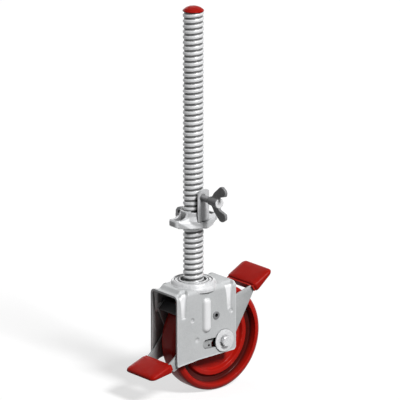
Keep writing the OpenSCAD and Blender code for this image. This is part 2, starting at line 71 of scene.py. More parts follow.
# %% The camera
PHOTO_PIXELS, PIXELS_PER_MM, UPRIGHT_PIXELS_PER_MM = 400, 0.5507, 0.5297
CAMERA_AZIMUTH, CAMERA_ELEVATION, CAMERA_DISTANCE = -38.3, 15.9, 9.0
FILM_WIDTH = 36
# Where the photograph shows the spindle's axis, and the floor under it
AXIS_COLUMN, FLOOR_ROW = 193.35, 393.2


def object_from(name, data):
    thing = bpy.data.objects.new(name, data)
    bpy.context.scene.collection.objects.link(thing)
    return thing


def aim(azimuth, elevation):
    """Direction from the castor to someone who looks at it from there."""
    a, e = math.radians(azimuth), math.radians(elevation)
    return Vector((math.sin(a) * math.cos(e), -math.cos(a) * math.cos(e), math.sin(e)))


def face_castor(thing, direction):
    """Turns a camera or a lamp that stands in some direction towards the castor."""
    thing.rotation_mode = "QUATERNION"
    thing.rotation_quaternion = (-direction).to_track_quat("-Z", "Y")


towards_camera = aim(CAMERA_AZIMUTH, CAMERA_ELEVATION)
camera = object_from("camera", bpy.data.cameras.new("camera"))
face_castor(camera, towards_camera)
bpy.context.scene.camera = camera
camera.data.sensor_width = FILM_WIDTH
camera.data.lens = FILM_WIDTH * CAMERA_DISTANCE / (PHOTO_PIXELS / PIXELS_PER_MM * MM)
camera.data.clip_end = 60
# The middle of the photograph, found on the spindle's axis and then moved along the camera's axes
turn = (-towards_camera).to_track_quat("-Z", "Y")
right, up = turn @ Vector((1, 0, 0)), turn @ Vector((0, 1, 0))
half_photo = PHOTO_PIXELS / 2
seat_row = FLOOR_ROW + UPRIGHT_PIXELS_PER_MM * FLOOR_Z
middle = right * ((half_photo - AXIS_COLUMN) / PIXELS_PER_MM * MM)
middle -= up * ((half_photo - seat_row) / PIXELS_PER_MM * MM)
camera.location = middle + towards_camera * CAMERA_DISTANCE
print("lens:", round(camera.data.lens, 1), "mm at", CAMERA_DISTANCE, "m")

# %% [markdown]
# The studio, the finishes and the threads are all built from nodes. A small maker keeps those calls
# short: it adds a node, and fills each input with a plain value or with another node's output.

# %% The node maker


class NodeMaker:
    """Short calls for building a node tree. Inputs are plain values, colours or other sockets."""

    def __init__(self, tree):
        self.tree = tree

    def fill(self, socket, value):
        if hasattr(value, "is_output"):
            self.tree.links.new(value, socket)
        else:
            socket.default_value = (*value, 1) if socket.type == "RGBA" else value

    def add(self, kind, inputs=None, **settings):
        node = self.tree.nodes.new(kind)
        for label, value in settings.items():
            setattr(node, label, value)
        for key, value in (inputs or {}).items():
            self.fill(node.inputs[key], value)
        return node

    def calc(self, operation, *values, clamp=False):
        """One Math node."""
        node = self.add("ShaderNodeMath", dict(enumerate(values)), operation=operation, use_clamp=clamp)
        return node.outputs[0]

    def remap(self, value, low, high, to_low=0.0, to_high=1.0):
        """A number brought from one range to another, and kept inside it."""
        ends = {"From Min": low, "From Max": high, "To Min": to_low, "To Max": to_high}
        return self.add("ShaderNodeMapRange", {"Value": value, **ends}, clamp=True).outputs["Result"]

    def mix(self, factor, a, b):
        """A colour between a and b."""
        node = self.add("ShaderNodeMix", {"Factor": factor}, data_type="RGBA")
        for label, value in (("A", a), ("B", b)):
            self.fill([s for s in node.inputs if s.name == label and s.type == "RGBA"][0], value)
        return [s for s in node.outputs if s.type == "RGBA"][0]

    def noise(self, spot, scale, detail=2.0, roughness=0.5):
        """A cloudy number at each place."""
        sizes = {"Vector": spot, "Scale": scale, "Detail": detail, "Roughness": roughness}
        return self.add("ShaderNodeTexNoise", sizes).outputs["Fac"]

    def mark(self, name):
        """A number that was written into the mesh under a name."""
        return self.add("ShaderNodeAttribute", attribute_name=name).outputs["Fac"]


print("node maker ready")

# %% [markdown]
# The studio is plain: a pale floor, a pale world, one wide key lamp in front and above, and weaker
# lamps over the top, at the side and behind. The world and the floor are white for the camera, in
# reflections and through glass, and dimmer as a light. So the background stays white while the
# castor keeps its shading and its shadow.

# %% Floor, world and lamps
WORLD_LIGHT, WHITE = 0.03, (1, 1, 1)
FLOOR_REACH, FLOOR_TONE, FLOOR_TONE_SEEN, FLOOR_GLOW = 30.0, 0.14, 0.4, 0.66


def new_material(name):
    made = bpy.data.materials.new(name)
    made.use_nodes = True
    made.node_tree.nodes.clear()
    return made, NodeMaker(made.node_tree)


def seen_directly(make):
    """1 for the camera, for reflections and through glass: what they meet is the white studio."""
    path = make.add("ShaderNodeLightPath").outputs
    either = make.calc("MAXIMUM", path["Is Camera Ray"], path["Is Glossy Ray"])
    return make.calc("MAXIMUM", either, path["Is Transmission Ray"])


def studio_world():
    world = bpy.data.worlds.new("studio")
    bpy.context.scene.world = world
    world.use_nodes = True
    world.node_tree.nodes.clear()
    make = NodeMaker(world.node_tree)
    strength = make.remap(seen_directly(make), 0.0, 1.0, WORLD_LIGHT, 1.0)
    background = make.add("ShaderNodeBackground", {"Color": WHITE, "Strength": strength})
    make.add("ShaderNodeOutputWorld", {"Surface": background.outputs[0]})


def studio_floor():
    """A floor that is paler where it is seen directly and adds some white, so only the shadow shows."""
    r, z = FLOOR_REACH, FLOOR_Z * MM - 0.0002
    mesh = bpy.data.meshes.new("studio_floor")
    mesh.from_pydata([(-r, -r, z), (r, -r, z), (r, r, z), (-r, r, z)], [], [(0, 1, 2, 3)])
    floor = object_from("studio_floor", mesh)
    material, make = new_material("pale_floor")
    seen = seen_directly(make)
    tone = make.mix(seen, (FLOOR_TONE,) * 3, (FLOOR_TONE_SEEN,) * 3)
    paint = make.add("ShaderNodeBsdfDiffuse", {"Color": tone})
    glow = make.add("ShaderNodeEmission", {"Color": WHITE, "Strength": make.calc("MULTIPLY", seen, FLOOR_GLOW)})
    both = make.add("ShaderNodeAddShader", {0: paint.outputs[0], 1: glow.outputs[0]})
    make.add("ShaderNodeOutputMaterial", {"Surface": both.outputs[0]})
    mesh.materials.append(material)


def soft_lamp(name, azimuth, elevation, softness, strength):
    """A wide, far lamp, which lights everything evenly. Softness is its width in degrees."""
    lamp = bpy.data.lights.new(name, "SUN")
    lamp.angle = math.radians(softness)
    lamp.energy = strength
    face_castor(object_from(name, lamp), aim(azimuth, elevation))


studio_world()
studio_floor()
soft_lamp("key_lamp", 0, 43, 14, 3.5)
soft_lamp("top_lamp", 150, 74, 24, 0.3)
soft_lamp("side_lamp", 64, 20, 16, 0.1)
soft_lamp("back_lamp", 160, 8, 24, 0.35)
bpy.context.scene.view_settings.view_transform = "Standard"
print("world light:", WORLD_LIGHT)

# %% [markdown]
# Every piece is made in the same few steps: points and faces become a mesh, the mesh gets smooth
# shading with its real edges kept sharp, the piece gets its finish and is hung on the body it moves
# with, and the CAD node it stands for is hidden.

# %% Helpers that make a piece


def tidy_mesh(mesh, weld):
    """Merges doubles, drops loose points and edges, and turns the faces outwards."""
    work = bmesh.new()
    work.from_mesh(mesh)
    bmesh.ops.remove_doubles(work, verts=work.verts, dist=weld)
    bmesh.ops.dissolve_degenerate(work, dist=weld / 4, edges=work.edges)
    loose = [v for v in work.verts if not v.link_faces]
    bmesh.ops.delete(work, geom=loose, context="VERTS")
    wires = [e for e in work.edges if not e.link_faces]
    bmesh.ops.delete(work, geom=wires, context="EDGES")
    bmesh.ops.recalc_face_normals(work, faces=work.faces)
    work.to_mesh(mesh)
    work.free()


def solid_from(name, points, faces, weld=0.004):
    """A closed mesh from points in millimetres."""
    mesh = bpy.data.meshes.new(name)
    mesh.from_pydata([(x * MM, y * MM, z * MM) for x, y, z in points], [], faces)
    tidy_mesh(mesh, weld * MM)
    return object_from(name, mesh)


def prism_from(name, near, far):
    """A solid between two outlines that have the same number of points."""
    count = len(near)
    faces = [tuple(range(count)), tuple(range(2 * count - 1, count - 1, -1))]
    faces += [(k, (k + 1) % count, (k + 1) % count + count, k + count) for k in range(count)]
    return solid_from(name, [*near, *far], faces)


def shifted(thing, at, tilt=0.0):
    """The piece tilted about X by some degrees, and then moved by millimetres."""
    move = Matrix.Translation([v * MM for v in at])
    thing.data.transform(move @ Matrix.Rotation(math.radians(tilt), 4, "X"))
    return thing


def joined(thing, *others):
    """The first piece takes in the meshes of the others, which are thrown away."""
    work = bmesh.new()
    for part in (thing, *others):
        work.from_mesh(part.data)
    work.to_mesh(thing.data)
    work.free()
    for part in others:
        bpy.data.objects.remove(part)
    return thing


def settled(thing):
    """The object with its modifiers worked into a plain mesh."""
    seen = thing.evaluated_get(bpy.context.evaluated_depsgraph_get())
    mesh = bpy.data.meshes.new_from_object(seen)
    mesh.name = thing.name
    thing.modifiers.clear()
    thing.data = mesh
    return thing


def carved(thing, cutter, operation="DIFFERENCE"):
    """One exact boolean, after which the cutter is thrown away."""
    cut = thing.modifiers.new("cut", "BOOLEAN")
    cut.operation = operation
    cut.solver = "EXACT"
    cut.object = cutter
    settled(thing)
    bpy.data.objects.remove(cutter)
    return thing


def mark_places(thing, rule, name="pressed"):
    """Writes a number for each point of the mesh, which the finish reads as a mask."""
    spots = np.empty(len(thing.data.vertices) * 3, dtype=np.float32)
    thing.data.vertices.foreach_get("co", spots)
    x, y, z = (spots.reshape(-1, 3) / MM).T
    values = thing.data.attributes.new(name, "FLOAT", "POINT")
    values.data.foreach_set("value", np.asarray(rule(x, y, z), dtype=np.float32))


def place(thing, body, node, finish, sharp_from=32):
    """The last step for each piece: finish, shading, the node it stands for and the body it rides."""
    thing.data.materials.clear()
    thing.data.materials.append(finish)
    thing.data.shade_smooth()
    thing.data.set_sharp_from_angle(angle=math.radians(sharp_from))
    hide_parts(*node.split())
    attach(thing, body)
    triangles = sum(len(f.vertices) - 2 for f in thing.data.polygons)
    print(f"{thing.name}: {triangles} triangles on body {body}")


print("a piece can be joined, shifted, carved, marked and placed")

# %% [markdown]
# Cast and moulded parts have no sharp edges. A copy of the CAD solid is filled with small voxels and
# smoothed, which rounds every edge and fillets every inner corner, as a casting's are. Sheet metal
# gets a fine bevel instead, so that its flat faces stay flat.

# %% Helpers that soften a CAD solid


def cad_copy(name, node):
    """A merged copy of a CAD node's mesh. The node itself is left alone."""
    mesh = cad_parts[node].data.copy()
    mesh.name = name
    tidy_mesh(mesh, 0.002 * MM)
    return object_from(name, mesh)


def voxel_filled(thing, voxel):
    """Everything that overlaps in a mesh becomes one skin."""
    fill = thing.modifiers.new("voxels", "REMESH")
    fill.mode = "VOXEL"
    fill.voxel_size = voxel * MM
    fill.use_smooth_shade = True
    return settled(thing)


def cast_soft(name, node, voxel, rounds, strength=0.5, webs=(), pockets=()):
    """The CAD solid, with any webs added and pockets cut, and with the rounded edges of a casting."""
    thing = joined(cad_copy(name, node), *webs)
    voxel_filled(thing, voxel)
    for pocket in pockets:
        carved(thing, pocket)
    if pockets:
        voxel_filled(thing, voxel)
    relax = thing.modifiers.new("relax", "SMOOTH")
    relax.factor = strength
    relax.iterations = rounds
    return settled(thing)


def bevelled(thing, width, segments=2, angle=35):
    """Fine rounded edges on a sheet or machined part."""
    work = bmesh.new()
    work.from_mesh(thing.data)
    bmesh.ops.dissolve_limit(work, angle_limit=math.radians(1.0), verts=work.verts, edges=work.edges)
    work.to_mesh(thing.data)
    work.free()
    edge = thing.modifiers.new("edges", "BEVEL")
    edge.width = width * MM
    edge.segments = segments
    edge.limit_method = "ANGLE"
    edge.angle_limit = math.radians(angle)
    edge.harden_normals = False
    return settled(thing)


print("a CAD solid can be made softly cast or finely bevelled")

# %% [markdown]
# Turned parts, such as the wheel, the swivel head and the washers, come from one section. The
# section's corners are rounded first, and then it is swept round an axis. A closed section gives a
# closed ring with no end faces to fill.

# %% Helpers for turned parts


def filleted(section, radius, steps=4):
    """A closed outline with each corner replaced by a small arc. A point may carry its own radius."""
    outline = []
    count = len(section)
    for k in range(count):
        here = Vector(section[k][:2])
        own = section[k][2] if len(section[k]) > 2 else radius
        before, after = Vector(section[k - 1][:2]), Vector(section[(k + 1) % count][:2])
        a, b = before - here, after - here
        if own <= 0 or a.length < 1e-6 or b.length < 1e-6:
            outline.append(tuple(here))
            continue
        half = a.angle(b) / 2
        if half > math.radians(88.5):
            outline.append(tuple(here))
            continue
        reach = min(own / math.tan(half), 0.46 * a.length, 0.46 * b.length)
        start, end = here + a.normalized() * reach, here + b.normalized() * reach
        for s in range(steps + 1):
            t = s / steps
            outline.append(tuple(start * (1 - t) ** 2 + here * (2 * t * (1 - t)) + end * t ** 2))
    return outline


def turned(name, outline, axis="Z", at=(0, 0, 0), around=96):
    """A closed outline of (radius, height) swept round an axis through a point."""
    points, faces = [], []
    count = len(outline)
    for i in range(around):
        a = 2 * math.pi * i / around
        for r, h in outline:
            if axis == "Z":
                points.append((at[0] + r * math.cos(a), at[1] + r * math.sin(a), at[2] + h))
            else:
                points.append((at[0] + r * math.cos(a), at[1] + h, at[2] + r * math.sin(a)))
    for i in range(around):
        n = (i + 1) % around
        for j in range(count):
            m = (j + 1) % count
            faces.append((i * count + j, n * count + j, n * count + m, i * count + m))
    return solid_from(name, points, faces)


print("a square with rounded corners has", len(filleted([(0, 0), (9, 0), (9, 9), (0, 9)], 1.0)), "points")

# %% [markdown]
# The finishes share a few effects, and each effect is a node group that gives out only numbers and
# colours. The edge group finds convex edges from the mesh itself, which the finishes lighten as worn
# edges and as a painted highlight, and it gives masks of concave spots, crevices and enclosed places,
# which the finishes darken as painted shade. Zinc spangle is the crystal pattern of hot-dip
# galvanising: flat cells a few millimetres across, each a slightly different grey. Shop dust is a
# slow cloud of dirt that lies a little thicker lower down.

# %% Shader groups


def node_group(name, kind, inputs, outputs, out_type="Float"):
    """A new group. An input is given as its usual number, or as the name of its socket's type."""
    tree = bpy.data.node_groups.new(name, kind + "NodeTree")
    for label, value in inputs.items():
        in_type = {float: "Float", int: "Int"}.get(type(value), value)
        socket = tree.interface.new_socket(label, in_out="INPUT", socket_type="NodeSocket" + in_type)
        if in_type != value:
            socket.default_value = value
    for label in outputs:
        tree.interface.new_socket(label, in_out="OUTPUT", socket_type="NodeSocket" + out_type)
    make = NodeMaker(tree)
    return make, make.add("NodeGroupInput").outputs, make.add("NodeGroupOutput").inputs


def edge_wear_and_shade_group():
    make, given, out = node_group(
        "edge_wear_and_shade", "Shader", {"Sharpness": 0.53, "Breakup scale": 90.0, "Crevice reach": 0.007},
        ("Edge", "Hollow", "Crevice", "Inside"))
    # Edge: convex edges, lightened as worn edges and as a painted highlight. Hollow, Crevice and Inside: concave
    # spots and occlusion near and wide, darkened as painted shade.
    bend = make.add("ShaderNodeNewGeometry").outputs["Pointiness"]
    cloud = make.noise(make.add("ShaderNodeTexCoord").outputs["Object"], given["Breakup scale"])
    over = make.calc("SUBTRACT", bend, given["Sharpness"])
    make.fill(out["Edge"], make.calc("MULTIPLY", over, make.remap(cloud, 0.35, 0.65, 5.0, 16.0), clamp=True))
    make.fill(out["Hollow"], make.remap(bend, 0.49, 0.42))
    for label, reach, open_from, shut_at in (("Crevice", given["Crevice reach"], 0.86, 0.4),
                                             ("Inside", 0.07, 0.7, 0.2)):
        nearby = make.add("ShaderNodeAmbientOcclusion", {"Distance": reach}, samples=8)
        make.fill(out[label], make.remap(nearby.outputs["AO"], open_from, shut_at))
    return make.tree


def spangle_group():
    make, given, out = node_group("zinc_spangle", "Shader", {"Cell scale": 260.0, "Grit scale": 900.0},
                                  ("Shade", "Height", "Cloud"))
    spot = make.add("ShaderNodeTexCoord").outputs["Object"]
    cells = make.add("ShaderNodeTexVoronoi", {"Vector": spot, "Scale": given["Cell scale"], "Randomness": 1.0})
    grey = make.add("ShaderNodeSeparateColor", {"Color": cells.outputs["Color"]})
    make.fill(out["Shade"], grey.outputs["Red"])
    make.fill(out["Height"], make.noise(spot, given["Grit scale"], 4.0))
    make.fill(out["Cloud"], make.noise(spot, 34.0, 3.0, 0.6))
    return make.tree


def dust_group():
    make, given, out = node_group("shop_dust", "Shader", {"Amount": 0.3, "Cloud scale": 22.0}, ("Mask",))
    spot = make.add("ShaderNodeTexCoord").outputs["Object"]
    height = make.add("ShaderNodeSeparateXYZ", {"Vector": spot}).outputs["Z"]
    low_down = make.remap(height, FLOOR_Z * MM, -0.1, 1.0, 0.35)
    patches = make.remap(make.noise(spot, given["Cloud scale"], 5.0), 0.42, 0.72)
    make.fill(out["Mask"], make.calc("MULTIPLY", make.calc("MULTIPLY", patches, low_down), given["Amount"]))
    return make.tree


EDGE_WEAR_AND_SHADE, SPANGLE, DUST = edge_wear_and_shade_group(), spangle_group(), dust_group()
print("shader groups:", EDGE_WEAR_AND_SHADE.name, SPANGLE.name, DUST.name)

# %% [markdown]
# A finish is a Principled shader fed by those groups. Each maker below is used for several parts
# with its own colours, because one galvanising bath gives a bright spindle, a satin fork and a
# grainy casting. The zinc has little metal in it, because the white studio in its reflections
# would wash out the thread and the pressed shapes.

# %% Makers of finishes


def darker(colour, share):
    return tuple(share * c for c in colour)


def zinc_finish(name, pale, dark, metallic, roughness, cells, grit, grain=0.00004, wear_and_highlight=0.5, groove=False,
                pressed=False, reach=0.007):
    """Galvanised steel or iron: spangle, slow clouds, edges lightened as worn zinc and as a painted highlight,
    painted shade in hollows, crevices, enclosed places and thread roots, and a painted highlight on pressed
    shapes.
    """
    material, make = new_material(name)
    zinc = make.add("ShaderNodeGroup", {"Cell scale": cells, "Grit scale": grit}, node_tree=SPANGLE).outputs
    edges = make.add("ShaderNodeGroup", {"Sharpness": 0.52, "Crevice reach": reach}, node_tree=EDGE_WEAR_AND_SHADE).outputs
    tone = make.calc("ADD", make.calc("MULTIPLY", zinc["Shade"], 0.32),
                     make.calc("MULTIPLY", zinc["Cloud"], 0.8), clamp=True)
    # Painted shade: the occlusion masks, near and wide, say where crevices and enclosed places are darkened.
    painted_shade = make.calc("MAXIMUM", make.calc("MULTIPLY", edges["Crevice"], 0.8),
                      make.calc("MULTIPLY", edges["Inside"], 0.85))
    body = make.mix(tone, dark, pale)
    # Painted shade: concave spots, then crevices and enclosed places, are darkened.
    body = make.mix(make.calc("MULTIPLY", edges["Hollow"], 0.5), body, darker(dark, 0.4))
    body = make.mix(painted_shade, body, darker(dark, 0.12))
    # Painted shade in the thread roots, read from the ridge height kept as groove.
    if groove:
        body = make.mix(make.remap(make.mark("groove"), 0.65, 0.15, 0.0, 0.8), body, (0.035, 0.034, 0.032))
    # Painted highlight: the pressed shapes are lightened towards near white.
    if pressed:
        body = make.mix(make.calc("MULTIPLY", make.mark("pressed"), 0.8), body, (0.95, 0.95, 0.96))
    # Convex edges are lightened, as worn zinc and as a painted highlight.
    body = make.mix(make.calc("MULTIPLY", edges["Edge"], wear_and_highlight, clamp=True), body, (0.82, 0.83, 0.84))
    bump = make.add("ShaderNodeBump", {"Height": zinc["Height"], "Distance": grain, "Strength": 0.7})
    shader = make.add("ShaderNodeBsdfPrincipled", {
        "Base Color": body, "Metallic": metallic, "Specular IOR Level": 0.2,
        "Roughness": make.remap(tone, 0.2, 0.9, roughness[1], roughness[0]), "Normal": bump.outputs[0]})
    make.add("ShaderNodeOutputMaterial", {"Surface": shader.outputs[0]})
    return material


def plastic_finish(name, colour, deep, roughness, wear_and_highlight_colour, wear_and_highlight, dust, coat, reach=0.01, painted_shade=0.75,
                   groove=False):
    """Moulded plastic: a faint mottle, edges lightened as scuffs and as a painted highlight, painted shade in
    crevices, enclosed places and the wheel's groove, dust in patches and a fine moulded skin.
    """
    material, make = new_material(name)
    spot = make.add("ShaderNodeTexCoord").outputs["Object"]
    mottle = make.noise(spot, 60.0, 4.0, 0.6)
    edges = make.add("ShaderNodeGroup", {"Sharpness": 0.525, "Breakup scale": 140.0, "Crevice reach": reach},
                     node_tree=EDGE_WEAR_AND_SHADE).outputs
    dirt = make.add("ShaderNodeGroup", {"Amount": dust}, node_tree=DUST).outputs
    body = make.mix(make.remap(mottle, 0.3, 0.7), deep, colour)
    # Painted shade: crevices and enclosed places are darkened.
    shut_in = make.calc("MAXIMUM", edges["Crevice"], edges["Inside"])
    body = make.mix(make.calc("MULTIPLY", shut_in, painted_shade), body, darker(deep, 0.1))
    # Painted shade in the wheel's deep groove inside the rim.
    if groove:
        body = make.mix(make.calc("MULTIPLY", make.mark("groove"), 0.85), body, (0.022, 0.006, 0.005))
    # Convex edges are lightened, as scuffs and as a painted highlight.
    body = make.mix(make.calc("MULTIPLY", edges["Edge"], wear_and_highlight, clamp=True), body, wear_and_highlight_colour)
    body = make.mix(dirt["Mask"], body, (0.36, 0.33, 0.3))
    bump = make.add("ShaderNodeBump", {"Height": make.noise(spot, 1500.0), "Distance": 0.00002, "Strength": 0.5})
    shader = make.add("ShaderNodeBsdfPrincipled", {
        "Base Color": body, "Roughness": make.remap(mottle, 0.3, 0.7, *roughness), "Coat Weight": coat,
        "Coat Roughness": 0.18, "Specular IOR Level": 0.06, "Normal": bump.outputs[0]})
    make.add("ShaderNodeOutputMaterial", {"Surface": shader.outputs[0]})
    return material


print("two makers of finishes: zinc and plastic")

# %% The castor's finishes
# The spindle's finish has painted shade in its thread roots.
spindle_zinc = zinc_finish("spindle_zinc", (0.88, 0.88, 0.89), (0.66, 0.67, 0.68), 0.25, (0.28, 0.38),
                           330, 1100, groove=True)
fork_zinc = zinc_finish("fork_zinc", (0.6, 0.61, 0.615), (0.46, 0.47, 0.475), 0.06, (0.34, 0.46), 600, 900,
                        pressed=True, reach=0.009)
head_zinc = zinc_finish("head_zinc", (0.86, 0.86, 0.87), (0.48, 0.49, 0.5), 0.2, (0.26, 0.38), 260, 900)
# Painted shade: the lever's zinc is a darker copy of the fork's, for the shade behind the fork plates.
lever_painted_shade_zinc = zinc_finish("lever_painted_shade_zinc", (0.48, 0.49, 0.49), (0.36, 0.37, 0.375), 0.06, (0.4, 0.55), 600, 900)
cast_zinc = zinc_finish("cast_zinc", (0.74, 0.74, 0.75), (0.4, 0.41, 0.42), 0.12, (0.32, 0.46), 700, 620,
                        grain=0.00016, reach=0.012)
# Painted shade: the wing handle is a darker copy of the cast zinc, for the shade on its sides.
wing_painted_shade_zinc = zinc_finish("wing_painted_shade_zinc", (0.26, 0.26, 0.265), (0.16, 0.16, 0.165), 0.05, (0.38, 0.55), 700, 620,
                        grain=0.00014, wear_and_highlight=1.0, pressed=True)
bright_steel = zinc_finish("bright_steel", (0.7, 0.7, 0.71), (0.46, 0.47, 0.48), 0.2, (0.26, 0.36), 700, 1600)
rivet_steel = zinc_finish("rivet_steel", (0.26, 0.26, 0.27), (0.16, 0.16, 0.165), 0.15, (0.34, 0.46), 700, 1600)
# Painted shade: the brake shoe is coloured near black to stand for the shade inside the fork.
shoe_steel = zinc_finish("shoe_steel", (0.03, 0.03, 0.032), (0.015, 0.015, 0.016), 0.1, (0.55, 0.7), 300, 900,
                         wear_and_highlight=0.05)
red_plastic = plastic_finish("red_plastic", (0.37, 0.007, 0.003), (0.33, 0.005, 0.002), (0.3, 0.4),
                             (0.6, 0.06, 0.03), 0.2, 0.03, 0.0)
# The wheel's occlusion reaches 20 mm, for painted shade across its groove.
wheel_plastic = plastic_finish("wheel_plastic", (0.42, 0.01, 0.005), (0.38, 0.008, 0.004), (0.28, 0.36),
                               (0.7, 0.12, 0.08), 0.4, 0.03, 0.04, reach=0.02, painted_shade=0.3, groove=True)
dark_plastic = plastic_finish("dark_plastic", (0.03, 0.03, 0.032), (0.018, 0.018, 0.02), (0.4, 0.55),
                              (0.2, 0.2, 0.2), 0.2, 0.2, 0.0)
print("finishes made")

# %% [markdown]
# The spindle's thread is the skill feature of the object: a coarse rounded ridge that winds right
# round the bar at a pitch of 10 mm. A screw modifier could sweep a section, but the ends would not
# be cut square. Here Geometry Nodes bend a flat grid instead. Across the grid runs the angle, along
# it the climb, every column starts a share of the pitch higher, and a curve gives the height of the
# ridge at each share of a turn. The heights are clamped at both ends, so the bar is cut square.
# The same tree makes the wing screw's stud and the end of the axle bolt.

# %% The helical thread tree


def thread_tree():
    make, given, out = node_group("helical_thread", "Geometry", {
        "Crest radius": 0.019, "Thread depth": 0.0024, "Pitch": 0.010, "Length": 0.5, "Hollow radius": 0.014,
        "Columns": 48, "Rows per turn": 14, "Finish": "Material"}, ("Geometry",), "Geometry")

    # The flat grid, bent round the bar
    turns =make.calc("ADD", make.calc("CEIL", make.calc("DIVIDE", given["Length"], given["Pitch"])), 2.0)
    rows = make.calc("MULTIPLY", turns, given["Rows per turn"])
    grid = make.add("GeometryNodeMeshGrid", {
        "Size X": 1.0, "Size Y": 1.0,
        "Vertices X": make.calc("ADD", given["Columns"], 1.0),
        "Vertices Y": make.calc("ADD", rows, 1.0),
    })
    where = make.add("ShaderNodeSeparateXYZ", {0: make.add("GeometryNodeInputPosition").outputs[0]}).outputs
    around = make.calc("ADD", where["X"], 0.5)
    climb = make.calc("MULTIPLY", make.calc("ADD", where["Y"], 0.5), turns)
    height = make.calc("MULTIPLY", make.calc("SUBTRACT", make.calc("ADD", climb, around), 1.0), given["Pitch"])
    height = make.calc("MINIMUM", make.calc("MAXIMUM", height, 0.0), given["Length"])
    share = make.calc("FRACT", make.calc("ADD", make.calc("SUBTRACT", make.calc(
        "DIVIDE", height, given["Pitch"]), around), 1.00001))
    ridge = make.add("ShaderNodeFloatCurve", {"Value": share})
    form = ((0.0, 0.0), (0.1, 0.05), (0.19, 0.5), (0.3, 0.9), (0.5, 1.0), (0.7, 0.9), (0.81, 0.5),
            (0.9, 0.05), (1.0, 0.0))
    curve = ridge.mapping.curves[0]
    for k, (x, y) in enumerate(form):
        point = curve.points[k] if k < 2 else curve.points.new(x, y)
        point.location = (x, y)
    ridge.mapping.update()
    radius = make.calc("SUBTRACT", given["Crest radius"], make.calc(
        "MULTIPLY", make.calc("SUBTRACT", 1.0, ridge.outputs[0]), given["Thread depth"]))
    angle = make.calc("MULTIPLY", around, 2 * math.pi)
    point = make.add("ShaderNodeCombineXYZ", {
        "X": make.calc("MULTIPLY", radius, make.calc("COSINE", angle)),
        "Y": make.calc("MULTIPLY", radius, make.calc("SINE", angle)),
        "Z": height,
    })
    # The ridge height is also kept as groove, which the spindle's finish uses for painted shade in the thread
    # roots.
    marked = make.add("GeometryNodeStoreNamedAttribute", {
        "Geometry": grid.outputs["Mesh"], "Name": "groove", "Value": ridge.outputs[0],
    }, data_type="FLOAT", domain="POINT")
    bent = make.add("GeometryNodeSetPosition", {"Geometry": marked.outputs[0], "Position": point.outputs[0]})
    welded = make.add("GeometryNodeMergeByDistance", {"Geometry": bent.outputs[0], "Distance": 0.000004})

    # Each open end is drawn in to the hollow, and the hollow is closed half way up the bar
    rim = make.add("FunctionNodeCompare", {2: make.add("GeometryNodeInputMeshEdgeNeighbors").outputs[0], 3: 1},
                   data_type="INT", operation="EQUAL")
    ends = make.add("GeometryNodeExtrudeMesh", {
        "Mesh": welded.outputs[0], "Selection": rim.outputs[0], "Offset Scale": 0.0}, mode="EDGES")
    spot = make.add("ShaderNodeSeparateXYZ", {0: make.add("GeometryNodeInputPosition").outputs[0]}).outputs
    reach = make.calc("SQRT", make.calc("ADD", make.calc("MULTIPLY", spot["X"], spot["X"]),
                                        make.calc("MULTIPLY", spot["Y"], spot["Y"])))
    shrink = make.calc("DIVIDE", given["Hollow radius"], make.calc("MAXIMUM", reach, 0.00001))
    drawn_in = make.add("ShaderNodeCombineXYZ", {
        "X": make.calc("MULTIPLY", spot["X"], shrink), "Y": make.calc("MULTIPLY", spot["Y"], shrink),
        "Z": spot["Z"]})
    collars = make.add("GeometryNodeSetPosition", {
        "Geometry": ends.outputs["Mesh"], "Selection": ends.outputs["Top"], "Position": drawn_in.outputs[0]})
    bore = make.add("GeometryNodeExtrudeMesh", {
        "Mesh": collars.outputs[0], "Selection": ends.outputs["Top"], "Offset Scale": 0.0}, mode="EDGES")
    half_way = make.add("ShaderNodeCombineXYZ", {
        "X": spot["X"], "Y": spot["Y"], "Z": make.calc("MULTIPLY", given["Length"], 0.5)})
    lined = make.add("GeometryNodeSetPosition", {
        "Geometry": bore.outputs["Mesh"], "Selection": bore.outputs["Top"], "Position": half_way.outputs[0]})
    closed = make.add("GeometryNodeMergeByDistance", {"Geometry": lined.outputs[0], "Distance": 0.000004})
    real = make.add("GeometryNodeRealizeInstances", {"Geometry": closed.outputs[0]})
    coated = make.add("GeometryNodeSetMaterial", {"Geometry": real.outputs[0], "Material": given["Finish"]})
    make.fill(out["Geometry"], coated.outputs[0])
    return make.tree


THREAD = thread_tree()
print("thread tree:", len(THREAD.nodes), "nodes")

# %% The threaded spindle


def worked(thing, tree, values):
    """Runs a node tree on an object with the given inputs, and keeps the plain mesh it makes."""
    modifier = thing.modifiers.new(tree.name, "NODES")
    modifier.node_group = tree
    for item in tree.interface.items_tree:
        if item.item_type == "SOCKET" and item.in_out == "INPUT" and item.name in values:
            modifier[item.identifier] = values[item.name]
    return settled(thing)


def threaded_bar(name, crest, depth, pitch, length, hollow, finish, columns=48, rows=14):
    """A threaded bar that stands on the origin, along Z, sizes in millimetres."""
    bar = object_from(name, bpy.data.meshes.new(name))
    worked(bar, THREAD, {
        "Crest radius": crest * MM, "Thread depth": depth * MM, "Pitch": pitch * MM, "Length": length * MM,
        "Hollow radius": hollow * MM, "Columns": columns, "Rows per turn": rows, "Finish": finish,
    })
    tidy_mesh(bar.data, 0.003 * MM)
    return bar


spindle = threaded_bar("spindle", CREST_R, THREAD_DEPTH, PITCH, SPINDLE_TOP - SPINDLE_FOOT, BORE_R,
                       spindle_zinc, 60, 14)
shifted(spindle, (0, 0, SPINDLE_FOOT))
place(spindle, "spindle", "threaded_spindle", spindle_zinc, 50)

# %% [markdown]
# The plug in the spindle's top end is a shallow plastic dome with a rounded rim. It is turned like
# the other round parts, with its stem going down into the hollow.

